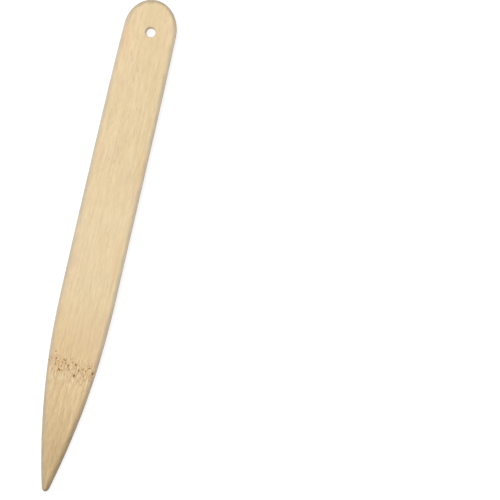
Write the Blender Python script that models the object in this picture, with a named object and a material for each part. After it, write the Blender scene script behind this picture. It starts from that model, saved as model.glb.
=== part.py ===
"""A bamboo paper folder: one flat strip with a round head, a hanging hole and a spear point.

It lies on its back face: +X runs from the head to the tip, +Z is up, and the origin is under
the middle of its length. All lengths are in metres.
"""
import math

import bmesh
import bpy
from mathutils import Matrix, Vector

# Driving dimensions
LENGTH = 0.200
THICKNESS = 0.0030
HEAD_DEPTH = 0.01225       # how far the round head reaches before the sides take over
HEAD_WIDTH = 0.0210        # across the sides where the head ends
WIDEST = 0.0219            # across the sides just before the taper
SIDE_POWER = 5             # how soon the sides reach that width: 1 is a straight wedge
TAPER_START = 0.120        # from the head end
TAPER_POWER = 2.13         # 1 is a straight taper, more gives a fuller, spear-shaped one
TIP_WIDTH = 0.0022         # across the blunt tip, before its corners are rounded
TIP_ROUND = 0.0014         # length of the rounded stretch at the tip
TIP_LEAN = 0.0007          # how far the hand-cut tip wanders to the +Y side
LEAN_START = 0.060         # from the head end
LEAN_POWER = 2.9

THIN_START = 0.110         # from the head end: from here to the tip the strip is thinned
TIP_THICKNESS = 0.0027

EDGE_INSET = 0.0014        # the softened edge, measured in from the side
EDGE_DROP = 0.00022        # the softened edge, measured down from the face
EDGE_POWER = 1.7           # 1 is a quarter ellipse, and 2 is a bevel
TIP_EDGE_INSET = 0.0022    # the creasing edges beside the tip are sanded wider and deeper
TIP_EDGE_DROP = 0.0012
EDGE_LIMIT = 0.9           # the most of the half width or half thickness that an edge may take

HOLE_DIAMETER = 0.0037
HOLE_FROM_HEAD = 0.0129
HOLE_OFFSET = 0.0005       # drilled slightly to the +Y side
HOLE_CHAMFER = 0.0005

# Mesh fineness
HEAD_STATIONS = 14
SIDE_STATIONS = 7
TAPER_STATIONS = 16
TIP_STATIONS = 4
EDGE_SEGMENTS = 4
HOLE_SIDES = 32
CUT_MARGIN = 0.001         # the hole's cutter stands this far out of both faces

BAMBOO_COLOUR = (0.80, 0.62, 0.39, 1.0)
BAMBOO_ROUGHNESS = 0.5


def clear_scene():
    for old in list(bpy.data.objects):
        bpy.data.objects.remove(old, do_unlink=True)


def blend(start, end, share):
    """Smooth step from start to end as share runs from 0 to 1."""
    share = min(max(share, 0.0), 1.0)
    return start + (end - start) * share * share * (3.0 - 2.0 * share)


def share_after(x, start):
    """0 up to start, then rising evenly to 1 at the tip."""
    return max(x - start, 0.0) / (LENGTH - start)


def half_width(x):
    """Half ellipse at the head, a slight swelling to the widest place, then the spear taper."""
    head, widest = HEAD_WIDTH / 2, WIDEST / 2
    if x < HEAD_DEPTH:
        return head * math.sqrt(1 - (1 - x / HEAD_DEPTH) ** 2)
    if x < TAPER_START:
        left = (TAPER_START - x) / (TAPER_START - HEAD_DEPTH)
        return widest - (widest - head) * left ** SIDE_POWER
    return widest - (widest - TIP_WIDTH / 2) * share_after(x, TAPER_START) ** TAPER_POWER


def tip_rounding(x):
    """1 along the blade, falling to 0 as a quarter ellipse over the last stretch of the tip."""
    into = max(x - (LENGTH - TIP_ROUND), 0.0) / TIP_ROUND
    return math.sqrt(max(1 - into ** 2, 0.0))


def centre_line(x):
    return TIP_LEAN * share_after(x, LEAN_START) ** LEAN_POWER


def towards_tip(x, start, end):
    """The start value as far as the thinning, then a smooth step to the end value."""
    return blend(start, end, share_after(x, THIN_START))


def half_thickness(x):
    return towards_tip(x, THICKNESS, TIP_THICKNESS) / 2


def stations():
    """Distances from the head end, without the two end points, closer together on the curves."""
    quarter = math.pi / 2
    head = [HEAD_DEPTH * (1 - math.cos(quarter * i / HEAD_STATIONS))
            for i in range(1, HEAD_STATIONS + 1)]
    side = [HEAD_DEPTH + (TAPER_START - HEAD_DEPTH) * i / SIDE_STATIONS
            for i in range(1, SIDE_STATIONS + 1)]
    tip_start = LENGTH - TIP_ROUND
    taper = [TAPER_START + (tip_start - TAPER_START) * i / TAPER_STATIONS
             for i in range(1, TAPER_STATIONS + 1)]
    tip = [tip_start + TIP_ROUND * math.sin(quarter * i / TIP_STATIONS)
           for i in range(1, TIP_STATIONS)]
    return head + side + taper + tip


def outline():
    """Closed loop of (x, y) seen from above: head end, -Y side, tip, +Y side.

    The loop is moved sideways so that its widest places stand evenly about y = 0.
    """
    sides = [(x, half_width(x) * tip_rounding(x)) for x in stations()]
    lower = [(x, centre_line(x) - w) for x, w in sides]
    upper = [(x, centre_line(x) + w) for x, w in reversed(sides)]
    loop = [(0.0, 0.0)] + lower + [(LENGTH, centre_line(LENGTH))] + upper
    across = [y for _, y in loop]
    middle = (max(across) + min(across)) / 2
    return [(x, y - middle) for x, y in loop]


def edge_inset(x):
    """How far the edge reaches in from the side, never past the middle of the blade."""
    most = EDGE_LIMIT * half_width(max(x, HEAD_DEPTH))
    return min(towards_tip(x, EDGE_INSET, TIP_EDGE_INSET), most)


def edge_ring(points, face, angle):
    """The outline carried to one level of the edge, above (face 1) or below (face -1).

    At angle 0 the ring is on the side wall, and at 90 degrees it is on the face. Each point
    moves in along the outline's normal, and up or down from the middle of the thickness.
    """
    pull = 1 - math.cos(angle) ** EDGE_POWER
    lift = math.sin(angle) ** EDGE_POWER
    ring = []
    for i, (x, y) in enumerate(points):
        before = Vector(points[i - 1])
        after = Vector(points[(i + 1) % len(points)])
        along = (after - before).normalized()
        inward = Vector((-along.y, along.x)) * edge_inset(x) * pull
        place = Vector((x, y)) + inward
        deep = half_thickness(x)
        drop = min(towards_tip(x, EDGE_DROP, TIP_EDGE_DROP), EDGE_LIMIT * deep)
        rise = deep - drop + drop * lift
        ring.append(Vector((place.x - LENGTH / 2, place.y, THICKNESS / 2 + face * rise)))
    return ring


def add_face(bm, loop, facing_up):
    """Close a face with rungs from side to side, so that it can follow the thinned tip."""
    count = len(loop)
    tip = count // 2
    for i in range(tip):
        rung = [loop[i], loop[i + 1], loop[count - i - 1], loop[-i]]
        corners = list(dict.fromkeys(rung))
        bm.faces.new(corners if facing_up else corners[::-1])


def blade_mesh():
    points = outline()
    quarter = math.pi / 2
    rising = [quarter * i / EDGE_SEGMENTS for i in range(EDGE_SEGMENTS + 1)]
    levels = [(-1, angle) for angle in reversed(rising)] + [(1, angle) for angle in rising]
    bm = bmesh.new()
    loops = [[bm.verts.new(p) for p in edge_ring(points, face, angle)] for face, angle in levels]
    for low, high in zip(loops, loops[1:]):
        for i in range(len(points)):
            bm.faces.new((low[i - 1], low[i], high[i], high[i - 1]))
    add_face(bm, loops[0], facing_up=False)
    add_face(bm, loops[-1], facing_up=True)
    mesh = bpy.data.meshes.new("bamboo_folder")
    bm.to_mesh(mesh)
    bm.free()
    mesh.shade_smooth()
    mesh.set_sharp_from_angle(angle=math.radians(35))
    return mesh


def hole_cutter():
    """A turned drill shape: straight through, and flared where it leaves each face."""
    radius = HOLE_DIAMETER / 2
    flare = radius + HOLE_CHAMFER + CUT_MARGIN
    end = THICKNESS / 2 + CUT_MARGIN
    throat = THICKNESS / 2 - HOLE_CHAMFER
    profile = [(0, -end), (flare, -end), (radius, -throat), (radius, throat), (flare, end), (0, end)]
    bm = bmesh.new()
    verts = [bm.verts.new((r, 0, z)) for r, z in profile]
    edges = [bm.edges.new(pair) for pair in zip(verts, verts[1:])]
    bmesh.ops.spin(bm, geom=verts + edges, cent=(0, 0, 0), axis=(0, 0, 1), angle=math.tau,
                   steps=HOLE_SIDES, use_merge=True)
    bmesh.ops.remove_doubles(bm, verts=bm.verts, dist=1e-6)
    bmesh.ops.recalc_face_normals(bm, faces=bm.faces)
    place = Vector((HOLE_FROM_HEAD - LENGTH / 2, HOLE_OFFSET, THICKNESS / 2))
    bm.transform(Matrix.Translation(place))
    mesh = bpy.data.meshes.new("hole_cutter")
    bm.to_mesh(mesh)
    bm.free()
    return mesh


def add_object(name, mesh):
    made = bpy.data.objects.new(name, mesh)
    bpy.context.scene.collection.objects.link(made)
    return made


def bamboo():
    material = bpy.data.materials.new("bamboo")
    material.use_nodes = True
    shader = material.node_tree.nodes["Principled BSDF"]
    shader.inputs["Base Color"].default_value = BAMBOO_COLOUR
    shader.inputs["Roughness"].default_value = BAMBOO_ROUGHNESS
    shader.inputs["Metallic"].default_value = 0.0
    return material


def main():
    clear_scene()
    folder = add_object("bamboo_folder", blade_mesh())
    folder.data.materials.append(bamboo())
    cutter = add_object("hole_cutter", hole_cutter())
    cutter.hide_render = True
    cutter.display_type = "WIRE"
    drill = folder.modifiers.new("hanging_hole", "BOOLEAN")
    drill.operation = "DIFFERENCE"
    drill.solver = "EXACT"
    drill.object = cutter


main()
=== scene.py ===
# %% [markdown]
# # A bamboo paper folder
#
# Card makers and bookbinders press a crease with a tool like this one. It is a strip split
# from a thick bamboo stem, planed flat, cut round at one end for the palm and to a spear point
# at the other, drilled so that it can hang, and sanded until no edge can mark the paper.
# It is a single piece, so the lesson spends its time on two things: edges, a hole and a point
# that are rounded in the mesh itself, and a surface that is bamboo and not just beige.
#
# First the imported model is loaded. It gives the size that everything below is worked out from.

# %% Load the model that the looks are built around
import math

import bmesh
import bpy
import numpy as np
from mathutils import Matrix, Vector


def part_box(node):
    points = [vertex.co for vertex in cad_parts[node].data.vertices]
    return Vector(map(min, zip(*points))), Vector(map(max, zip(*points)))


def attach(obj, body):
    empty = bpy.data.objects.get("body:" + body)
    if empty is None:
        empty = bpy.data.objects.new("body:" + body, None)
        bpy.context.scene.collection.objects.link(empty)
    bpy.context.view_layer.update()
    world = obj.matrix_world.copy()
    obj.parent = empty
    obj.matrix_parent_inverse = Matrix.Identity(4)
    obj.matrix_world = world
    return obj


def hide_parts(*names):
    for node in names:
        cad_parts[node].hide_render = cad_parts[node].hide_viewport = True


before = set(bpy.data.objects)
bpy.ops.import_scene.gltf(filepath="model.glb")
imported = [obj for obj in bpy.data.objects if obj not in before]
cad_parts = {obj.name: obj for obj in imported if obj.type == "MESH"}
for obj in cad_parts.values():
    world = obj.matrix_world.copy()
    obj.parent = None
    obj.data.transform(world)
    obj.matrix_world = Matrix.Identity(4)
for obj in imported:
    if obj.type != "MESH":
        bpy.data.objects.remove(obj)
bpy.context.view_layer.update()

FOLDER_LOW, FOLDER_HIGH = (np.array(corner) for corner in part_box("bamboo_folder"))
LENGTH, WIDTH, THICKNESS = FOLDER_HIGH - FOLDER_LOW
MM = LENGTH / 200          # one millimetre of this folder, however long the model is
print(f"folder {LENGTH / MM:.1f} x {WIDTH / MM:.1f} x {THICKNESS / MM:.1f} mm")

# %% [markdown]
# ## The outline
#
# A maker draws half of the outline on the strip and mirrors it: a half ellipse for the head,
# sides that swell by just under a millimetre towards the middle, and a long taper down to a
# blunt tip. Each stretch is a short formula of the distance from the head end, so it can be
# worked out for a whole array of distances at once. A curve object would do too, but the
# formula can also tell the edges, the thinning and the grain where they are.

# %% Outline formulas
HEAD_DEPTH, HEAD_HALF = 12.25 * MM, 10.5 * MM
WIDEST_HALF = 10.95 * MM
SIDE_POWER = 5
TAPER_START, TAPER_POWER = 120 * MM, 2.13
TIP_HALF, TIP_ROUND = 1.1 * MM, 1.4 * MM
TIP_LEAN, LEAN_START, LEAN_POWER = 0.7 * MM, 60 * MM, 2.9


def smooth_step(share):
    """0 up to 0, 1 from 1 on, and the cubic 3t^2 - 2t^3 between them."""
    t = np.clip(share, 0, 1)
    return t * t * (3 - 2 * t)


def share_after(x, start):
    """0 up to start, then rising evenly to 1 at the tip."""
    return np.clip((x - start) / (LENGTH - start), 0, 1)


def full_half_width(x):
    """A quarter ellipse in the head, a fifth power along the sides, a power curve to the tip."""
    head = HEAD_HALF * np.sqrt(1 - (1 - np.clip(x / HEAD_DEPTH, 0, 1)) ** 2)
    to_go = np.clip((TAPER_START - x) / (TAPER_START - HEAD_DEPTH), 0, 1)
    side = WIDEST_HALF - (WIDEST_HALF - HEAD_HALF) * to_go ** SIDE_POWER
    narrowing = share_after(x, TAPER_START) ** TAPER_POWER
    taper = WIDEST_HALF - (WIDEST_HALF - TIP_HALF) * narrowing
    return np.select([x < HEAD_DEPTH, x < TAPER_START], [head, side], taper)


def half_width(x):
    """The same, times a quarter ellipse over the last stretch, which rounds the tip off."""
    into_tip = np.clip((x - (LENGTH - TIP_ROUND)) / TIP_ROUND, 0, 1)
    return full_half_width(x) * np.sqrt(1 - into_tip ** 2)


def centre_line(x):
    """A middle line that leans aside with a power of the way from its start to the tip."""
    return TIP_LEAN * share_after(x, LEAN_START) ** LEAN_POWER


print(f"half width at the middle {float(half_width(LENGTH / 2)) / MM:.2f} mm")

# %% [markdown]
# ## Where the mesh needs its points
#
# The outline is sampled at stations along the length. They crowd together where the shape
# turns quickly, in the head and at the tip, and across the node, where small pits will be
# pressed into the surface. Elsewhere they stand a millimetre apart or a little less. The
# loop of points is then moved sideways until its widest places stand evenly about the middle
# of the model.

# %% Stations along the length
HOLE_X, HOLE_Y = 12.9 * MM, 0.5 * MM
NECK_END = 2 * HOLE_X      # the hole's own patch of the face ends here
NODE_START, NODE_END = 139 * MM, 161 * MM
HEAD_STEPS, TIP_STEPS = 40, 10
HOLE_SPACING, BLADE_SPACING = 0.6 * MM, 1.0 * MM
NODE_SPACING, TIP_SPACING = 0.16 * MM, 0.7 * MM
QUARTER = math.pi / 2


def evenly(start, end, spacing):
    """Stations from start up to, but not including, end."""
    count = round((end - start) / spacing)
    return start + (end - start) * np.arange(count) / count


head_turn = QUARTER * np.arange(1, HEAD_STEPS) / HEAD_STEPS
tip_turn = QUARTER * np.arange(TIP_STEPS) / TIP_STEPS
stations = np.concatenate([
    HEAD_DEPTH * (1 - np.cos(head_turn)),
    evenly(HEAD_DEPTH, NECK_END, HOLE_SPACING),
    evenly(NECK_END, NODE_START, BLADE_SPACING),
    evenly(NODE_START, NODE_END, NODE_SPACING),
    evenly(NODE_END, LENGTH - TIP_ROUND, TIP_SPACING),
    LENGTH - TIP_ROUND + TIP_ROUND * np.sin(tip_turn),
])
NECK = int(np.argmin(np.abs(stations - NECK_END)))


def closed_outline(x):
    """(x, y) round the folder seen from above: head end, -Y side, tip, +Y side."""
    middle, half = centre_line(x), half_width(x)
    across = np.concatenate([[0.0], middle - half, [TIP_LEAN], (middle + half)[::-1]])
    across -= (across.min() + across.max()) / 2
    return np.stack([np.concatenate([[0.0], x, [LENGTH], x[::-1]]), across], 1)


outline = closed_outline(stations)
print(f"{len(stations)} stations, {np.ptp(outline[:, 1]) / MM:.2f} mm wide; CAD {WIDTH / MM:.2f}")

# %% [markdown]
# ## The sanded edge
#
# The edge is what the hand feels and what catches the light, so it is made in the mesh. In
# section it lies between a quarter ellipse and a bevel, as a sanding block leaves it. Along
# the sides it is only softened. From the middle of the blade on it grows wider and deeper,
# because the edges beside the tip are the ones that crease and score.
# The outline is carried inwards along its own normal while it climbs, ring by ring. This
# keeps the edge even all the way round the head, which shrinking the outline would not.

# %% Rings from the side wall up to the face
EDGE_INSET, TIP_EDGE_INSET = 1.4 * MM, 2.2 * MM
EDGE_DROP, TIP_EDGE_DROP = 0.22 * MM, 1.2 * MM
EDGE_POWER = 1.7           # 1 is a quarter ellipse, and 2 is a bevel
EDGE_LIMIT = 0.9           # the most of the half width or half thickness that it may take
THIN_START, TIP_THICKNESS = 110 * MM, 2.7 * MM
EDGE_STEPS = 8
MIDDLE = THICKNESS / 2


def towards_tip(x, start, end):
    """The start value as far as the thinning, then a smooth step to the end value."""
    return start + (end - start) * smooth_step(share_after(x, THIN_START))


def half_thickness(x):
    """Half the strip's thickness, which falls smoothly from the thinning to the tip."""
    return towards_tip(x, THICKNESS, TIP_THICKNESS) / 2


def edge_inset(x):
    """How far the edge reaches in from the side, at most a share of the half width."""
    most = EDGE_LIMIT * full_half_width(np.maximum(x, HEAD_DEPTH))
    return np.minimum(towards_tip(x, EDGE_INSET, TIP_EDGE_INSET), most)


def inward_normals(loop):
    """The chord between each point's neighbours, turned a quarter turn to the left."""
    chord = np.roll(loop, -1, 0) - np.roll(loop, 1, 0)
    chord /= np.linalg.norm(chord, axis=1, keepdims=True)
    return np.stack([-chord[:, 1], chord[:, 0]], 1)


inward = inward_normals(outline)


def edge_rings(face):
    """Rings from half way up the wall to the upper (1) or lower (-1) face.

    At turn a the ring has moved in by inset * (1 - cos(a) ^ power), and risen by
    drop * sin(a) ^ power. The result has a row for each ring, a column for each point.
    """
    turn = QUARTER * np.arange(EDGE_STEPS + 1) / EDGE_STEPS
    wall = np.concatenate([[0.0, 0.5], np.ones(EDGE_STEPS + 1)])[:, None]
    pull = np.concatenate([[0.0, 0.0], 1 - np.cos(turn) ** EDGE_POWER])[:, None]
    lift = np.concatenate([[0.0, 0.0], np.sin(turn) ** EDGE_POWER])[:, None]
    along = outline[:, 0]
    deep = half_thickness(along)
    drop = np.minimum(towards_tip(along, EDGE_DROP, TIP_EDGE_DROP), EDGE_LIMIT * deep)
    place = outline + inward * (pull * edge_inset(along))[..., None]
    height = MIDDLE + face * (wall * (deep - drop) + lift * drop)
    return np.concatenate([place, height[..., None]], -1)


print(f"{edge_rings(1).shape[0]} rings of {len(outline)} points on each half")

# %% [markdown]
# ## The flat faces
#
# Most of a face is a ladder: a rung runs from side to side at every station, split evenly.
# A ladder can't hold a round hole, so the head gets a patch of its own, like a spider's web:
# rays run from the hole's lip to the points on the patch's border, and the threads between
# them turn gradually from a circle into the outline of the head. This avoids the thin
# slivers that a Boolean cut leaves round a hole.

# %% Ladder and web
RUNGS_ACROSS = 96
WEB_THREADS = 24
WEB_CROWDING = 1.6         # above 1, the threads crowd towards the hole
HOLE_RADIUS = 1.85 * MM
LIP = 0.5 * MM             # rounding where the drill came through
LIP_STEPS, WALL_STEPS = 5, 8


def ladder(ring):
    """Points on straight rungs between the two sides, closing to the tip's end point."""
    count = len(stations)
    near, far = ring[1 + NECK:1 + count], ring[::-1][NECK:count]
    share = np.linspace(0, 1, RUNGS_ACROSS + 1)[None, :, None]
    rungs = near[:, None] * (1 - share) + far[:, None] * share
    end = np.broadcast_to(ring[1 + count], (1,) + rungs.shape[1:])
    return np.concatenate([rungs, end])


def web_border(ring, first_rung):
    """The patch's border, as one closed loop: -Y side, head end, +Y side, first rung."""
    near, far = ring[1 + NECK:0:-1], ring[::-1][:NECK + 1]
    return np.concatenate([near, ring[:1], far, first_rung[-2:0:-1]])


def circle_facing(border, radius):
    """For each point of the border, the point of the hole's circle in its direction."""
    angle = np.arctan2(border[:, 1] - HOLE_Y, border[:, 0] - HOLE_X)
    return np.stack([HOLE_X + radius * np.cos(angle), HOLE_Y + radius * np.sin(angle)], 1)


def web(border):
    """Threads that turn from the hole's lip into the border: lip * (1 - s) + border * s."""
    lip = np.concatenate([circle_facing(border, HOLE_RADIUS + LIP), border[:, 2:]], 1)
    share = (np.arange(WEB_THREADS + 1) / WEB_THREADS)[:, None, None] ** WEB_CROWDING
    return lip * (1 - share) + border * share


def hole_wall(border):
    """The drilled wall from the upper lip to the lower one. Each lip is a quarter circle."""
    turn = QUARTER * np.arange(LIP_STEPS + 1) / LIP_STEPS
    radius = HOLE_RADIUS + LIP * (1 - np.sin(turn))
    height = MIDDLE - LIP * (1 - np.cos(turn))
    wall = np.linspace(height[-1], -height[-1], WALL_STEPS + 1)[1:-1]
    radii = np.concatenate([radius, np.full(len(wall), HOLE_RADIUS), radius[::-1]])
    heights = MIDDLE + np.concatenate([height, wall, -height[::-1]])
    return np.stack([np.column_stack([circle_facing(border, r), np.full(len(border), h)])
                     for r, h in zip(radii, heights)])


upper_rings = edge_rings(1)
upper_border = web_border(upper_rings[-1], ladder(upper_rings[-1])[0])
print(f"web of {len(upper_border)} rays and {WEB_THREADS} threads round the hole")

# %% [markdown]
# ## A flat layout for every patch
#
# The finished mesh carries a flat layout of its own, into which its pattern can be baked.
# The upper half of the folder fills the upper half of the square, stretched so that the
# narrow width gets as many rows as possible, because bamboo changes most across its fibres.
# The rounded edge is unrolled outwards round each face, and the hole's wall goes into the
# free corner beside the tip.

# %% Layout
LAYOUT_NAME = "OFBake"
MARGIN = 0.012
UNROLLED = 1.4 * MM        # room for the unrolled edge outside the outline
LENGTH_SCALE = (1 - 2 * MARGIN) / (LENGTH + 2 * UNROLLED)
WIDTH_SCALE = (0.5 - 2 * MARGIN) / (WIDTH + 2 * UNROLLED)
BORE_CORNER, BORE_SIZE = np.array([0.915, 0.92]), np.array([0.065, 0.06])


def flat_layout(place, face):
    """A place's own (x, y), scaled into the upper or lower half of the square."""
    u = MARGIN + (place[..., 0] + UNROLLED) * LENGTH_SCALE
    v = 0.5 + face * (MARGIN + (place[..., 1] + WIDTH / 2 + UNROLLED) * WIDTH_SCALE)
    return np.stack([u, v], -1)


def unrolled_layout(rings, face):
    """The face's border, moved out along the outline's normal by the length of the edge."""
    climb = np.linalg.norm(np.diff(rings, axis=0), axis=2)
    to_face = np.concatenate([np.cumsum(climb[::-1], 0)[::-1], np.zeros((1, len(outline)))])
    return flat_layout(rings[-1][:, :2] - inward * to_face[..., None], face)


def bore_layout(wall):
    """The hole's wall as a small rectangle: round it one way, and down it the other."""
    rows, columns = wall.shape[:2]
    down, around = np.meshgrid(np.linspace(0, 1, rows), np.linspace(0, 1, columns),
                               indexing="ij")
    return BORE_CORNER + BORE_SIZE * np.stack([around, down], -1)


print(f"one millimetre is {WIDTH_SCALE / LENGTH_SCALE:.1f} times larger across than along")

# %% [markdown]
# ## One closed mesh
#
# Every patch is a grid of points, so one function turns any of them into four-sided faces.
# The patches share their border points, and merging doubles sews them into one closed skin,
# which is then turned to face outwards.

# %% Sew the patches into a mesh
SEW_DISTANCE = 0.0005 * MM
FACE_SLOT, BORE_SLOT = 0, 1


def closed_round(grid):
    """The grid with its first column repeated at the end, so that it closes on itself."""
    return np.concatenate([grid, grid[:, :1]], 1)


def grid_cells(rows, columns, start):
    """The four corner numbers of each cell of a grid whose points begin at number start."""
    corner = start + (np.arange(rows - 1)[:, None] * columns + np.arange(columns - 1)).ravel()
    return np.stack([corner, corner + 1, corner + columns + 1, corner + columns], 1)


def half_patches(face):
    """The patches of the upper or lower half, each with its layout and material slot."""
    rings = edge_rings(face)
    rungs = ladder(rings[-1])
    threads = closed_round(web(web_border(rings[-1], rungs[0])))
    return [(closed_round(rings), closed_round(unrolled_layout(rings, face)), FACE_SLOT),
            (rungs, flat_layout(rungs, face), FACE_SLOT),
            (threads, flat_layout(threads, face), FACE_SLOT)]


def sewn_mesh(name, patches):
    """All the patches as one mesh, with doubles merged and every face turned outwards."""
    points = np.concatenate([grid.reshape(-1, 3) for grid, _, _ in patches])
    points += [FOLDER_LOW[0], 0, FOLDER_LOW[2]]
    layout = np.concatenate([flat.reshape(-1, 2) for _, flat, _ in patches])
    sizes = [grid.shape[0] * grid.shape[1] for grid, _, _ in patches]
    starts = np.cumsum([0] + sizes)
    cells = [grid_cells(*patch[0].shape[:2], start) for patch, start in zip(patches, starts)]
    slots = np.repeat([slot for _, _, slot in patches], [len(part) for part in cells])
    corners = np.concatenate(cells)
    mesh = bpy.data.meshes.new(name)
    mesh.from_pydata(points, [], corners)
    mesh.polygons.foreach_set("material_index", slots)
    map_layer = mesh.uv_layers.new(name=LAYOUT_NAME)
    map_layer.uv.foreach_set("vector", layout[corners.ravel()].ravel())
    sewing = bmesh.new()
    sewing.from_mesh(mesh)
    bmesh.ops.remove_doubles(sewing, verts=sewing.verts, dist=SEW_DISTANCE)
    bmesh.ops.recalc_face_normals(sewing, faces=sewing.faces)
    open_edges = sum(not edge.is_manifold for edge in sewing.edges)
    print(f"{name}: {len(sewing.verts)} points, {len(sewing.faces)} faces, "
          f"{open_edges} open edges, {sewing.calc_volume() / MM ** 3:.0f} mm3")
    sewing.to_mesh(mesh)
    sewing.free()
    mesh.shade_smooth()
    return mesh


bore = closed_round(hole_wall(upper_border))
bore_patch = (bore, bore_layout(bore), BORE_SLOT)
folder_mesh = sewn_mesh("bamboo_strip", half_patches(1) + half_patches(-1) + [bore_patch])

# %% [markdown]
# ## Pits, fibres and the sander's hand
#
# A planed bamboo strip is never quite flat. Where the stem had a node, the fibre bundles cross
# the surface and their cut ends leave small open pores. Along the rest, soft tissue sands
# away faster than the bundles and leaves faint ridges, and the edges waver a little because a
# person held them against the belt. All of this moves points along their normals. A pit is a
# bell curve of the distance from its middle, and the ridges are a sum of waves that are long
# along the fibres and short across them. Two numbers are kept on the mesh for the finish: how
# deep the pore is at each point, and how far the point is from the nearest edge.

# %% Pores of the node
NODE_AT = 149.0 * MM
PORE_DEPTH = 0.14 * MM     # of a pore whose own depth is 1
PORE_REACH = 9.6 * MM      # to either side of the middle line
chance = np.random.default_rng(11)


def band_middle(across):
    """Where the node crosses the strip: it leans a little and wavers like a slow sine."""
    return NODE_AT + 0.12 * across + 0.9 * MM * np.sin(across / (2.6 * MM) + 0.8)


def scattered_pores(count, spread, smallest, largest, deepest):
    """Rows of (x, y, half length, half width, slant, depth).

    They are even across the strip, bell shaped along it, and most of them are small.
    """
    across = (chance.permutation(count) + chance.uniform(0, 1, count)) / count
    across = (across * 2 - 1) * PORE_REACH
    along = band_middle(across) + chance.normal(0, spread, count)
    size = smallest + (largest - smallest) * chance.uniform(0, 1, count) ** 2
    longer = size * chance.uniform(1.2, 2.2, count)
    slant = chance.normal(0, 0.5, count)
    depth = deepest * chance.uniform(0.35, 1, count)
    return np.stack([along, across, longer, size, slant, depth], 1)


def open_bundles():
    """The same rows for the twelve widest pores, whose places and sizes are listed."""
    big = MM * np.array([
        (152.4, 1.8, 0.62, 0.38), (151.3, -4.5, 0.60, 0.36), (148.1, 1.6, 0.55, 0.34),
        (149.0, -1.3, 0.50, 0.34), (149.8, 3.1, 0.50, 0.28), (150.0, 8.8, 0.70, 0.40),
        (147.1, -6.4, 0.45, 0.28), (146.9, -3.5, 0.45, 0.30), (148.3, -2.7, 0.42, 0.26),
        (148.3, 6.9, 0.42, 0.26), (149.6, 5.9, 0.45, 0.24), (149.7, -4.0, 0.42, 0.26)])
    slant = chance.normal(0, 0.45, len(big))
    depth = np.array([1.0, 1.0, 0.85, 0.8, 0.75, 0.9, 0.7, 0.75, 0.65, 0.7, 0.75, 0.65])
    return np.concatenate([big, slant[:, None], depth[:, None]], 1)


upper_pores = np.concatenate([open_bundles(),
                              scattered_pores(44, 1.6 * MM, 0.17 * MM, 0.34 * MM, 0.85),
                              scattered_pores(60, 3.0 * MM, 0.10 * MM, 0.20 * MM, 0.6)])
lower_pores = np.concatenate([scattered_pores(46, 1.8 * MM, 0.16 * MM, 0.36 * MM, 0.95),
                              scattered_pores(60, 3.2 * MM, 0.10 * MM, 0.20 * MM, 0.6)])
print(f"{len(upper_pores)} pores above, {len(lower_pores)} below")

# %% Distances and waves


def pits(place, pores):
    """The deepest pore at each place: depth * exp(-(dx / length)^2 - (dy / width)^2).

    dy is measured from a line that leans by the pore's slant.
    """
    x, y, length, width, slant, depth = pores.T
    along = place[:, :1] - x
    across = place[:, 1:2] - y - slant * along
    return (depth * np.exp(-(along / length) ** 2 - (across / width) ** 2)).max(1)


def rim_distance(place):
    """How far each place is from the nearest edge: the outline, the blunt tip or the hole.

    In the head, r is 1 on the ellipse, and the distance is (1 - r) over the slope of r.
    Beyond it, the distance is (half width - across) over sqrt(1 + steepness ^ 2). The hole's
    lip is touched least, so distances from it count double.
    """
    x = np.clip(place[:, 0], 0, LENGTH)
    across = np.abs(place[:, 1] - centre_line(x) - outline[0, 1])
    back = (x - HEAD_DEPTH) / HEAD_DEPTH
    r = np.hypot(back, across / HEAD_HALF)
    slope = np.hypot(back / HEAD_DEPTH, across / HEAD_HALF ** 2) / np.maximum(r, 0.01)
    in_head = (1 - r) / np.maximum(slope, 0.5 / HEAD_DEPTH)
    step = 0.1 * MM
    steepness = (full_half_width(x + step) - full_half_width(x - step)) / (2 * step)
    beyond = (full_half_width(x) - across) / np.hypot(1, steepness)
    from_side = np.where(x < HEAD_DEPTH, in_head, beyond)
    from_hole = np.hypot(place[:, 0] - HOLE_X, place[:, 1] - HOLE_Y) - HOLE_RADIUS
    return np.clip(np.minimum.reduce([from_side, LENGTH - x, 2 * from_hole]), 0, None)


def waves(place, lengths, count):
    """The mean of count seeded sine waves, times 2, for each place."""
    pace = chance.normal(0, 1, (count, 3)) * 2 * math.pi / np.array(lengths)
    return np.sin(place @ pace.T + chance.uniform(0, 2 * math.pi, count)).mean(1) * 2


# %% Relief
RIDGE_LENGTHS, RIDGE_HEIGHT = (60 * MM, 1.6 * MM, 1.6 * MM), 0.010 * MM
HAND_LENGTHS, HAND_HEIGHT = (34 * MM, 30 * MM, 30 * MM), 0.03 * MM
SWELLING_LENGTH, SWELLING_HEIGHT = 3.5 * MM, 0.03 * MM
PORES_END = 12 * MM        # pores are looked for only this near to the node


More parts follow.
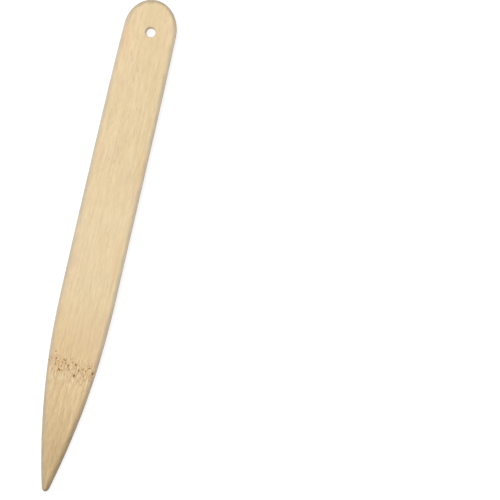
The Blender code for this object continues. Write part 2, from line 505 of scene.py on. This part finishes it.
def add_relief(mesh):
    """Moves each point along its normal by ridges + hand + swelling - pore, each times a height.

    The swelling is a bell curve of the distance from the node's band.
    """
    count = len(mesh.vertices)
    points, normals = np.empty(count * 3), np.empty(count * 3)
    mesh.vertices.foreach_get("co", points)
    mesh.vertex_normals.foreach_get("vector", normals)
    points, normals = points.reshape(-1, 3), normals.reshape(-1, 3)
    place = points - [FOLDER_LOW[0], 0, FOLDER_LOW[2]]
    near_node = np.abs(place[:, 0] - NODE_AT) < PORES_END
    pore = np.zeros(count)
    for side, pores in ((1, upper_pores), (-1, lower_pores)):
        chosen = near_node & (normals[:, 2] * side > 0.4)
        pore[chosen] = pits(place[chosen], pores)
    lift = RIDGE_HEIGHT * waves(place, RIDGE_LENGTHS, 20)
    lift += HAND_HEIGHT * waves(place, HAND_LENGTHS, 8)
    from_band = place[:, 0] - band_middle(place[:, 1])
    lift += SWELLING_HEIGHT * np.exp(-(from_band / SWELLING_LENGTH) ** 2)
    lift -= PORE_DEPTH * pore
    points += normals * lift[:, None]
    points[:, 2] += FOLDER_LOW[2] - points[:, 2].min()     # it still rests on the table
    mesh.vertices.foreach_set("co", points.ravel())
    for name, values in (("pore", pore), ("rim", rim_distance(place) / MM)):
        mesh.attributes.new(name, "FLOAT", "POINT").data.foreach_set("value", values)
    mesh.update()
    print(f"relief from {lift.min() / MM:.2f} to {lift.max() / MM:.2f} mm")


add_relief(folder_mesh)

# %% [markdown]
# ## On its body
#
# The finished strip rides on the model's only body and stands in for the plain solid, which is
# then no longer shown.

# %% The folder takes the place of the plain solid
folder = bpy.data.objects.new("bamboo_strip", folder_mesh)
bpy.context.scene.collection.objects.link(folder)
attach(folder, "root")
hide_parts("bamboo_folder")
print(f"{folder.name}: {len(folder_mesh.vertices)} points")

# %% [markdown]
# ## Tools for building materials
#
# A material is a small network of nodes. These helpers add one node each and return the
# socket that carries its result, so that a finish reads like a list of steps. Colours are
# written the way a colour picker shows them, from 0 to 255, and turned into the linear values
# that the renderer adds up.

# %% Colours and nodes


def seen(red, green, blue):
    """Linear colour of a screen colour: ((c + 0.055) / 1.055) ^ 2.4, or c / 12.92 near black."""
    c = np.array([red, green, blue]) / 255
    linear = np.where(c > 0.04045, ((c + 0.055) / 1.055) ** 2.4, c / 12.92)
    return (*(float(value) for value in linear), 1.0)


def add(tree, kind, sockets, **settings):
    """Adds a node, sets its properties, and fills its inputs with links or plain values."""
    made = tree.nodes.new(kind)
    for name, value in settings.items():
        setattr(made, name, value)
    for socket, value in sockets.items():
        if isinstance(value, bpy.types.NodeSocket):
            tree.links.new(value, made.inputs[socket])
        else:
            made.inputs[socket].default_value = value
    return made


def maths(tree, operation, *values):
    """The result of one operation on one to three numbers or sockets."""
    return add(tree, "ShaderNodeMath", dict(enumerate(values)), operation=operation).outputs[0]


# %% Patterns, steps and mixes


def stretched(tree, place, scale, shift=(0, 0, 0)):
    """The place times scale, plus shift: a small scale makes a pattern long that way."""
    return add(tree, "ShaderNodeMapping", {0: place, 1: shift, 3: scale}).outputs[0]


def cloud(tree, place, scale, detail=2.0, roughness=0.5):
    """Soft noise from 0 to 1, stretched by its scale."""
    sockets = {"Vector": stretched(tree, place, scale), "Scale": 1.0, "Detail": detail,
               "Roughness": roughness}
    return add(tree, "ShaderNodeTexNoise", sockets).outputs[0]


def ramp(tree, value, low, high, to_low=0.0, to_high=1.0):
    """A smooth step from to_low at low to to_high at high."""
    return add(tree, "ShaderNodeMapRange", {0: value, 1: low, 2: high, 3: to_low, 4: to_high},
               interpolation_type="SMOOTHSTEP").outputs[0]


def mixed(tree, share, first, second, blend="MIX"):
    """Two colours mixed by a share from 0 to 1."""
    return add(tree, "ShaderNodeMix", {0: share, 6: first, 7: second}, data_type="RGBA",
               blend_type=blend).outputs[2]


# %% Groups


def new_group(name, inputs, outputs):
    """An empty node group with named sockets, and the sockets at its two ends."""
    tree = bpy.data.node_groups.new(name, "ShaderNodeTree")
    for socket, kind in inputs.items():
        tree.interface.new_socket(name=socket, in_out="INPUT", socket_type=kind)
    for socket in outputs:
        tree.interface.new_socket(name=socket, in_out="OUTPUT", socket_type="NodeSocketFloat")
    given = tree.nodes.new("NodeGroupInput").outputs
    result = tree.nodes.new("NodeGroupOutput").inputs
    return tree, given, result


# %% [markdown]
# ## How bamboo is built
#
# Under the lens bamboo is pale soft tissue with stiff fibre bundles running through it, each
# about half a millimetre thick and as long as the stem's internode. Where the planed face
# cuts along a bundle it shows as a darker streak that fades in and out; where the head cuts
# across it, it shows as a dot. So the pattern is made in the solid, not on the surface: cells
# stretched sixty times along X are streaks on the face and dots on the end by themselves.
# Near a node the bundles swerve, which a soft noise does here by pushing the place aside
# before the cells are looked up. The group gives four values: the bundles, the fibres inside
# them, the finest hairlines, and short flecks where the plane tore a fibre out. Every scale is
# in cells or waves per millimetre: along the stem, across it, and up.

# %% Group: bundles, fibres, hairlines and flecks
FLOAT, VECTOR = "NodeSocketFloat", "NodeSocketVector"


def make_grain_group():
    """Noise pushes the place aside, then cells give the bundles, and other noises the rest."""
    tree, given, result = new_group("bamboo grain", {"Place": VECTOR, "Swerve": FLOAT},
                                    ["Bundles", "Fibres", "Hairlines", "Flecks"])
    place = given["Place"]
    reach = maths(tree, "MULTIPLY_ADD", given["Swerve"], 1.5, 0.6)
    aside = []
    for scale in ((0.06, 0.18, 0.18), (0.07, 0.15, 0.2)):
        push = maths(tree, "SUBTRACT", cloud(tree, place, scale, 2.0), 0.5)
        aside.append(maths(tree, "MULTIPLY", push, reach))
    sideways = add(tree, "ShaderNodeCombineXYZ", {1: aside[0], 2: aside[1]}).outputs[0]
    bent = add(tree, "ShaderNodeVectorMath", {0: place, 1: sideways}, operation="ADD").outputs[0]
    cells = add(tree, "ShaderNodeTexVoronoi",
                {"Vector": stretched(tree, bent, (0.02, 1.25, 1.25)), "Scale": 1.0,
                 "Randomness": 1.0}).outputs["Distance"]
    tree.links.new(ramp(tree, cells, 0.62, 0.14), result["Bundles"])
    tree.links.new(cloud(tree, bent, (0.16, 1.2, 1.2), 5.0, 0.7), result["Fibres"])
    tree.links.new(cloud(tree, bent, (0.5, 5.0, 5.0), 3.0, 0.6), result["Hairlines"])
    torn = cloud(tree, bent, (0.30, 1.5, 1.5), 1.0)
    sparse = ramp(tree, cloud(tree, place, (0.05, 0.14, 0.14), 2.0), 0.45, 0.65)
    tree.links.new(maths(tree, "MULTIPLY", ramp(tree, torn, 0.60, 0.74), sparse),
                   result["Flecks"])
    return tree


bamboo_grain = make_grain_group()
print(f"{bamboo_grain.name}: {len(bamboo_grain.nodes)} nodes")

# %% [markdown]
# ## The node of the stem
#
# Where a wall once crossed the hollow stem, the bundles tangle. The planed face shows a band
# of pores, and after it, towards the tip, a stretch of short brown dashes that thin out. The
# band wavers across the strip, so its distance is measured from a line that noise bends.
# Between the dashes the soft tissue is paler than elsewhere, which gives the band its sparkle.

# %% Group: the node's band and its dashes


def make_node_group():
    """Steps of the distance past the node's wavering line, times one noise for the marks."""
    tree, given, result = new_group("stem node", {"Place": VECTOR, "Position": FLOAT},
                                    ["Band", "Dashes", "Sparks", "Swerve", "Past"])
    place = given["Place"]
    along = add(tree, "ShaderNodeSeparateXYZ", {0: place}).outputs[0]
    waver = maths(tree, "MULTIPLY_ADD", cloud(tree, place, (0.0, 0.3, 0.0)), 5.0, -2.5)
    past = maths(tree, "SUBTRACT", maths(tree, "ADD", along, waver), given["Position"])
    away = maths(tree, "ABSOLUTE", past)
    tree.links.new(ramp(tree, away, 5.0, 1.0), result["Band"])
    tree.links.new(ramp(tree, away, 20.0, 2.0), result["Swerve"])
    marks = cloud(tree, place, (0.36, 1.7, 1.7), 3.0, 0.6)
    before, after = ramp(tree, past, -5.0, -1.0), ramp(tree, past, 12.0, 4.0)
    reach = maths(tree, "MULTIPLY", before, after)
    for name, low, high in (("Dashes", 0.51, 0.62), ("Sparks", 0.48, 0.38)):
        tree.links.new(maths(tree, "MULTIPLY", ramp(tree, marks, low, high), reach),
                       result[name])
    tree.links.new(ramp(tree, past, -4.0, 8.0), result["Past"])
    return tree


stem_node = make_node_group()
print(f"{stem_node.name}: {len(stem_node.nodes)} nodes")

# %% [markdown]
# ## Edges that were sanded and held
#
# Sanding dust and the hand's grease make the edges a little greyer than the face, and the
# ends of the fibres, which face along X, soak up more of both. The distance from the edge was
# kept on the mesh, and a soft noise pushes it in and out, so the grey wavers like a real rub.
# The upright wall between the two edges is touched less and keeps more of its own colour.

# %% Group: sanded edge and cut fibre ends


def make_edge_group():
    """A step of the noisy distance from the edge, and a step of how far the face looks along X."""
    tree, given, result = new_group("sanded edge", {"Place": VECTOR, "Rim": FLOAT,
                                                    "Width": FLOAT}, ["Edge", "Fibre Ends"])
    push = maths(tree, "SUBTRACT", cloud(tree, given["Place"], (0.15, 0.3, 0.3), 3.0), 0.5)
    wavering = maths(tree, "MULTIPLY_ADD", push, given["Width"], given["Rim"])
    inner = maths(tree, "MULTIPLY", given["Width"], 0.25)
    facing = add(tree, "ShaderNodeNewGeometry", {}).outputs["Normal"]
    lengthwise, _, upwards = add(tree, "ShaderNodeSeparateXYZ", {0: facing}).outputs
    touched = ramp(tree, maths(tree, "ABSOLUTE", upwards), 0.15, 0.6, 0.65, 1.0)
    rubbed = ramp(tree, wavering, given["Width"], inner)
    tree.links.new(maths(tree, "MULTIPLY", rubbed, touched), result["Edge"])
    tree.links.new(ramp(tree, maths(tree, "ABSOLUTE", lengthwise), 0.12, 0.6),
                   result["Fibre Ends"])
    return tree


sanded_edge = make_edge_group()
print(f"{sanded_edge.name}: {len(sanded_edge.nodes)} nodes")

# %% [markdown]
# ## The bamboo itself
#
# The colours are laid down one over another: straw all over, paler in the middle, riper and
# then tan towards the tip where the hand has rubbed it, warm patches beside the edges, then
# the bundles, the node and the edges. The fibres' light and shade goes over all of these, and
# the pores come last. Each pore is darkest at the bottom of its pit, partly from its own brown
# and partly as painted shade. Every step is a small mix, since clean bamboo is quiet: from
# arm's length only the node stands out. Beside the tip the edges are painted darker as painted
# shade, most on the +Y side, which faces away from the left soft box; on the -Y side the grey
# is a wide, pale rub.

# %% Colours of planed bamboo
STRAW, PALE = seen(228, 204, 160), seen(236, 214, 175)
RIPE, TAN = seen(226, 197, 150), seen(205, 177, 132)
HONEY, ROSE = seen(232, 188, 130), seen(236, 196, 168)
BUNDLE = seen(206, 172, 122)
SCAR, SPARK = seen(208, 162, 106), seen(240, 220, 184)
# The darkest pore colour is partly the open fibre's brown and partly painted shade.
DASH, PORE_BROWN_AND_SHADE = seen(160, 120, 73), seen(104, 74, 43)
# The darker edge colour is grime near the gripped head, and painted shade on the edges beside the
# tip.
EDGE, GRIME_AND_SHADE_EDGE, FIBRE_END = seen(198, 183, 159), seen(166, 146, 116), seen(152, 138, 114)

# Millimetres from the head end: where a change begins, and where it is complete
PALER, RIPER, BROWNER = (62.0, 92.0), (114.0, 148.0), (158.0, 190.0)
# The second span is where the tip's edges get their painted shade.
GRIPPED, SHADED_TOWARDS_TIP, WIDER = (12.0, 3.0), (130.0, 190.0), (THIN_START / MM, 190.0)


def place_in_millimetres(tree):
    """Object coordinates as millimetres from the head end, the middle line and the table."""
    place = add(tree, "ShaderNodeTexCoord", {}).outputs["Object"]
    shift = (-FOLDER_LOW[0] / MM, 0, -FOLDER_LOW[2] / MM)
    return stretched(tree, place, (1 / MM,) * 3, shift)


def straw_colour(tree, place, along, across):
    """The broad colours, from the head to the tip and from the middle to the edges."""
    patches = cloud(tree, place, (0.05, 0.15, 0.15), 3.0)
    colour = mixed(tree, ramp(tree, patches, 0.45, 0.75, 0.0, 0.4), STRAW, PALE)
    colour = mixed(tree, ramp(tree, along, *PALER, 0.0, 0.45), colour, PALE)
    colour = mixed(tree, ramp(tree, along, *RIPER), colour, RIPE)
    colour = mixed(tree, ramp(tree, along, *BROWNER), colour, TAN)
    beside_edge = ramp(tree, maths(tree, "ABSOLUTE", across), 4.5, 9.0, 0.08, 0.32)
    for tint, scale in ((HONEY, (0.035, 0.30, 0.30)), (ROSE, (0.045, 0.22, 0.27))):
        where = ramp(tree, cloud(tree, place, scale, 3.0), 0.50, 0.68)
        colour = mixed(tree, maths(tree, "MULTIPLY", where, beside_edge), colour, tint)
    return colour


# %% Edges, shade and pores


def rub_width(tree, along, across):
    """How far in from the edge the grey reaches, in millimetres."""
    width = ramp(tree, along, *WIDER, 1.6, 1.9)
    return maths(tree, "ADD", width, ramp(tree, across, 2.0, -2.0, 0.0, 0.5))


def edge_colour(tree, along, across, fibre_ends):
    """Grey, browner where a hand grips, darker towards the tip as painted shade (most on the +Y
    side), and darkest on fibre ends.
    """
    # Painted shade: towards the tip the edge darkens fully on the +Y side, away from the left soft
    # box, and by 0.3 of that on the -Y side.
    painted_tip_shade = maths(tree, "MULTIPLY", ramp(tree, along, *SHADED_TOWARDS_TIP),
                    ramp(tree, across, -2.0, 2.0, 0.3, 1.0))
    grime_and_shade = maths(tree, "MAXIMUM", ramp(tree, along, *GRIPPED, 0.0, 0.72), painted_tip_shade)
    return mixed(tree, fibre_ends, mixed(tree, grime_and_shade, EDGE, GRIME_AND_SHADE_EDGE), FIBRE_END)


def shaded(tree, colour, grain, strength):
    """The colour times a grey that follows the fibres and hairlines, stronger where asked."""
    fibres = ramp(tree, grain["Fibres"], 0.28, 0.72, -0.05, 0.04)
    hairs = ramp(tree, grain["Hairlines"], 0.25, 0.75, -0.035, 0.03)
    change = maths(tree, "MULTIPLY", maths(tree, "ADD", fibres, hairs), strength)
    grey = maths(tree, "ADD", change, 1.0)
    grey = add(tree, "ShaderNodeCombineColor", {0: grey, 1: grey, 2: grey}).outputs[0]
    return mixed(tree, 1.0, colour, grey, "MULTIPLY")


def with_pores_and_pit_shade(tree, colour, pore):
    """Light brown round the rim of a pore, brown down its side, and dark brown at its bottom:
    partly the pore's own colour, partly painted shade in the pit.
    """
    # Painted shade: the deeper the pit, the darker its colour.
    for shallow, deep, share, tint in ((0.05, 0.30, 0.5, SCAR), (0.18, 0.50, 0.85, DASH),
                                       (0.45, 0.90, 0.9, PORE_BROWN_AND_SHADE)):
        colour = mixed(tree, ramp(tree, pore, shallow, deep, 0.0, share), colour, tint)
    return colour


# %% Material: planed bamboo


def fibre_bump(tree, scar, grain):
    """Fibres, hairlines and bundles stand up, and flecks and dashes are torn out."""
    height = grain["Fibres"]
    for pattern, share in ((grain["Hairlines"], 0.35), (grain["Bundles"], 0.3),
                           (grain["Flecks"], -0.5), (scar["Dashes"], -0.7)):
        height = maths(tree, "MULTIPLY_ADD", pattern, share, height)
    return add(tree, "ShaderNodeBump", {"Strength": 0.7, "Distance": 0.04 * MM,
                                        "Height": height}).outputs[0]


def make_planed_bamboo():
    """Straw, layers over it by their masks and shares, then shade, and pores with painted shade in
    their pits.
    """
    material = bpy.data.materials.new("planed_bamboo")
    material.use_nodes = True
    tree = material.node_tree
    shader = tree.nodes["Principled BSDF"]
    place = place_in_millimetres(tree)
    along, across, _ = add(tree, "ShaderNodeSeparateXYZ", {0: place}).outputs
    scar = add(tree, "ShaderNodeGroup", {"Place": place, "Position": NODE_AT / MM},
               node_tree=stem_node).outputs
    grain = add(tree, "ShaderNodeGroup", {"Place": place, "Swerve": scar["Swerve"]},
                node_tree=bamboo_grain).outputs
    pore, rim = (add(tree, "ShaderNodeAttribute", {}, attribute_name=name).outputs["Fac"]
                 for name in ("pore", "rim"))
    sanded = add(tree, "ShaderNodeGroup",
                 {"Place": place, "Rim": rim, "Width": rub_width(tree, along, across)},
                 node_tree=sanded_edge).outputs

    colour = straw_colour(tree, place, along, across)
    # The edge colour, with painted shade beside the tip.
    edge = edge_colour(tree, along, across, sanded["Fibre Ends"])
    for mask, share, tint in ((grain["Bundles"], 0.16, BUNDLE), (grain["Flecks"], 0.18, DASH),
                              (scar["Band"], 0.12, SCAR), (scar["Sparks"], 0.65, SPARK),
                              (scar["Dashes"], 0.34, DASH), (sanded["Edge"], 0.9, edge)):
        colour = mixed(tree, maths(tree, "MULTIPLY", mask, share), colour, tint)
    rougher = maths(tree, "MULTIPLY_ADD", scar["Past"], 1.3, 1.5)
    colour = with_pores_and_pit_shade(tree, shaded(tree, colour, grain, rougher), pore)
    tree.links.new(colour, shader.inputs["Base Color"])

    rough = ramp(tree, grain["Fibres"], 0.3, 0.7, 0.58, 0.46)
    rough = maths(tree, "MULTIPLY_ADD", sanded["Edge"], -0.06, rough)
    rough = maths(tree, "MULTIPLY_ADD", pore, 0.3, rough)
    tree.links.new(rough, shader.inputs["Roughness"])
    tree.links.new(fibre_bump(tree, scar, grain), shader.inputs["Normal"])
    shader.inputs["Specular IOR Level"].default_value = 0.35
    return material


planed_bamboo = make_planed_bamboo()
folder_mesh.materials.append(planed_bamboo)
print(f"{planed_bamboo.name}: {len(planed_bamboo.node_tree.nodes)} nodes")

# %% [markdown]
# ## The drilled wall
#
# A drill rubs and slightly scorches the hole's wall, and its lip turns grey with handling. It
# cuts the same bundles, so the same grain group colours it, only browner and duller, and the
# drill leaves fine rings on it.

# %% Material: drilled wall
SCORCHED, SCORCHED_PALE, LIP_GREY = seen(188, 160, 126), seen(222, 198, 164), seen(215, 199, 173)
DRILL_PITCH = 0.25         # millimetres between two rings
LIP_BEGINS = (0.8, 1.2)    # millimetres above or below the middle of the thickness


def make_drilled_wall():
    """Scorched grain inside, straw and grey at the lips, and a sine of the depth for the rings."""
    material = bpy.data.materials.new("drilled_wall")
    material.use_nodes = True
    tree = material.node_tree
    shader = tree.nodes["Principled BSDF"]
    place = place_in_millimetres(tree)
    grain = add(tree, "ShaderNodeGroup", {"Place": place, "Swerve": 0.0},
                node_tree=bamboo_grain).outputs
    rim = add(tree, "ShaderNodeAttribute", {}, attribute_name="rim").outputs["Fac"]
    lip = add(tree, "ShaderNodeGroup", {"Place": place, "Rim": rim, "Width": 1.0},
              node_tree=sanded_edge).outputs["Edge"]
    wall = mixed(tree, ramp(tree, grain["Fibres"], 0.3, 0.7), SCORCHED, SCORCHED_PALE)
    wall = mixed(tree, maths(tree, "MULTIPLY", grain["Bundles"], 0.4), wall, SCORCHED)
    depth = add(tree, "ShaderNodeSeparateXYZ", {0: place}).outputs[2]
    from_middle = maths(tree, "ABSOLUTE", maths(tree, "SUBTRACT", depth, MIDDLE / MM))
    near_lip = mixed(tree, lip, STRAW, LIP_GREY)
    colour = mixed(tree, ramp(tree, from_middle, *LIP_BEGINS), wall, near_lip)
    tree.links.new(colour, shader.inputs["Base Color"])
    rings = maths(tree, "SINE", maths(tree, "MULTIPLY", depth, 2 * math.pi / DRILL_PITCH))
    height = maths(tree, "MULTIPLY_ADD", grain["Hairlines"], 1.5, rings)
    bump = add(tree, "ShaderNodeBump", {"Strength": 0.5, "Distance": 0.02 * MM,
                                        "Height": height})
    tree.links.new(bump.outputs[0], shader.inputs["Normal"])
    shader.inputs["Roughness"].default_value = 0.62
    return material


drilled_wall = make_drilled_wall()
folder_mesh.materials.append(drilled_wall)
print(f"{drilled_wall.name}: {len(drilled_wall.node_tree.nodes)} nodes")

# %% [markdown]
# ## The table
#
# The folder lies on a plain white table that glows, so the background goes white and hardly
# shows a shadow. The glow also lights the walls of the folder and of the hole from below,
# where the lamps can't reach. The table is a stage and not a part of the tool.

# %% White table
TABLE_SIZE = 6.0           # metres
TABLE_GAP = 0.02 * MM      # between the table and the folder, so that they don't share a plane
TABLE_PAPER = 0.35         # how much of the lamps' light it sends back
TABLE_GLOW = 0.76


def make_table():
    """One square face just under the folder."""
    half = TABLE_SIZE / 2
    corners = [(-half, -half, 0), (half, -half, 0), (half, half, 0), (-half, half, 0)]
    mesh = bpy.data.meshes.new("table_top")
    mesh.from_pydata(corners, [], [(0, 1, 2, 3)])
    table = bpy.data.objects.new("table_top", mesh)
    table.location.z = FOLDER_LOW[2] - TABLE_GAP
    bpy.context.scene.collection.objects.link(table)
    material = bpy.data.materials.new("white_table")
    material.use_nodes = True
    shader = material.node_tree.nodes["Principled BSDF"]
    shader.inputs["Base Color"].default_value = (TABLE_PAPER, TABLE_PAPER, TABLE_PAPER, 1)
    shader.inputs["Roughness"].default_value = 0.9
    shader.inputs["Specular IOR Level"].default_value = 0.0
    shader.inputs["Emission Color"].default_value = (1, 1, 1, 1)
    shader.inputs["Emission Strength"].default_value = TABLE_GLOW
    mesh.materials.append(material)


make_table()

# %% [markdown]
# ## Soft light
#
# One large soft box stands to the left beyond the head, and a second hangs over the table.
# The world fills the rest evenly. Large boxes close by give the broad, almost shadowless
# light that shows grain without glare, and the side that faces away from the first box still
# goes a little darker, which is what makes the edges readable from above. Behind the table
# the world looks white like the table, but it gives less light than it shows.

# %% Lights
WORLD_LIGHT, WORLD_SEEN = 0.39, 0.95


def make_world():
    """An even white, as strong as WORLD_SEEN to the camera and as WORLD_LIGHT to the rest."""
    world = bpy.data.worlds.new("studio")
    world.use_nodes = True
    tree = world.node_tree
    background = tree.nodes["Background"]
    background.inputs["Color"].default_value = (1, 1, 1, 1)
    looked_at = add(tree, "ShaderNodeLightPath", {}).outputs["Is Camera Ray"]
    strength = ramp(tree, looked_at, 0.0, 1.0, WORLD_LIGHT, WORLD_SEEN)
    tree.links.new(strength, background.inputs["Strength"])
    bpy.context.scene.world = world
    bpy.context.scene.view_settings.view_transform = "Standard"


def soft_box(name, direction, distance, size, watts):
    """A square area light, distance metres away in a direction, turned to face the folder."""
    light = bpy.data.lights.new(name, "AREA")
    light.shape, light.size, light.energy = "SQUARE", size, watts
    lamp = bpy.data.objects.new(name, light)
    lamp.location = np.array(direction) / np.linalg.norm(direction) * distance
    lamp.rotation_euler = (-lamp.location).to_track_quat("-Z", "Y").to_euler()
    bpy.context.scene.collection.objects.link(lamp)


make_world()
soft_box("soft_box_left", (-0.53, -0.85, 1.75), 1.2, 0.8, 10.4)
soft_box("soft_box_above", (-0.1, 0.1, 1.0), 1.5, 1.2, 1.5)
print(f"world {WORLD_LIGHT} and two soft boxes")

# %% [markdown]
# ## The camera
#
# The camera looks straight down. The folder lies to the left of its middle, so a sliver of
# the right-hand wall shows and the left-hand wall is hidden. Its distance follows from how
# much of the table it should see: across = distance * sensor / lens.

# %% Camera
LENS, SENSOR = 85.0, 36.0
SEEN_ACROSS = 0.9939 * LENGTH
AIM_ALONG, AIM_ASIDE = -0.0599 * LENGTH, 0.2922 * LENGTH
TURN = math.radians(13.11)

lens = bpy.data.cameras.new("camera")
lens.lens, lens.sensor_width = LENS, SENSOR
camera = bpy.data.objects.new("camera", lens)
aim = (FOLDER_LOW + FOLDER_HIGH) / 2 + [AIM_ALONG, AIM_ASIDE, 0]
camera.location = aim + [0, 0, SEEN_ACROSS * LENS / SENSOR]
camera.rotation_euler = (0, 0, QUARTER + TURN)
bpy.context.scene.collection.objects.link(camera)
bpy.context.scene.camera = camera
print(f"camera {camera.location.z / MM:.0f} mm above the table")
